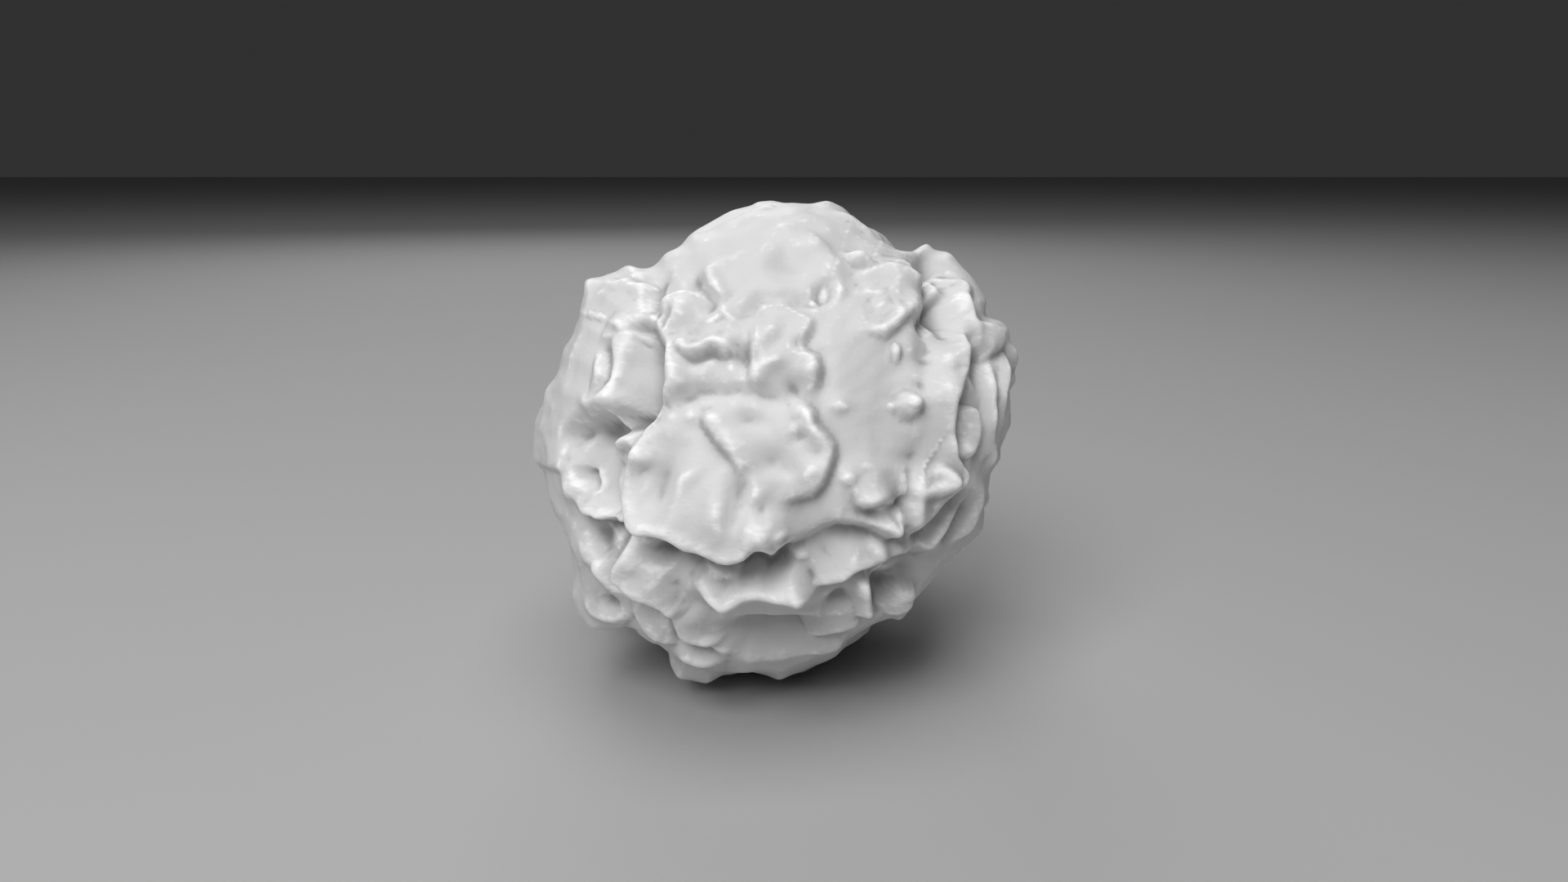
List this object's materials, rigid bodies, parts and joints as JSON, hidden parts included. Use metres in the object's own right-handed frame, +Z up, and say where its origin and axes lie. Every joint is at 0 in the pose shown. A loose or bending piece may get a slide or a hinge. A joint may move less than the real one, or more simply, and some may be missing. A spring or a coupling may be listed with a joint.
{
  "type": "hailstone",
  "caption": "Giant lumpy hailstone of opaque pale ice with sharp ledges, ridges, scoops and lobes, resting on a small flat spot",
  "frame": {"origin": "middle of the footprint, on the floor, under the stone", "axes": "+Z up, -Y towards the front with the overhanging chin line, +X to the right of the front"},
  "size_m": [0.1144, 0.1196, 0.1119],
  "materials": {
    "pale_ice": "opaque pale ice, satin, paler along the crests"
  },
  "bodies": {
    "root": {"hailstone": "pale_ice"}
  },
  "joints": []
}
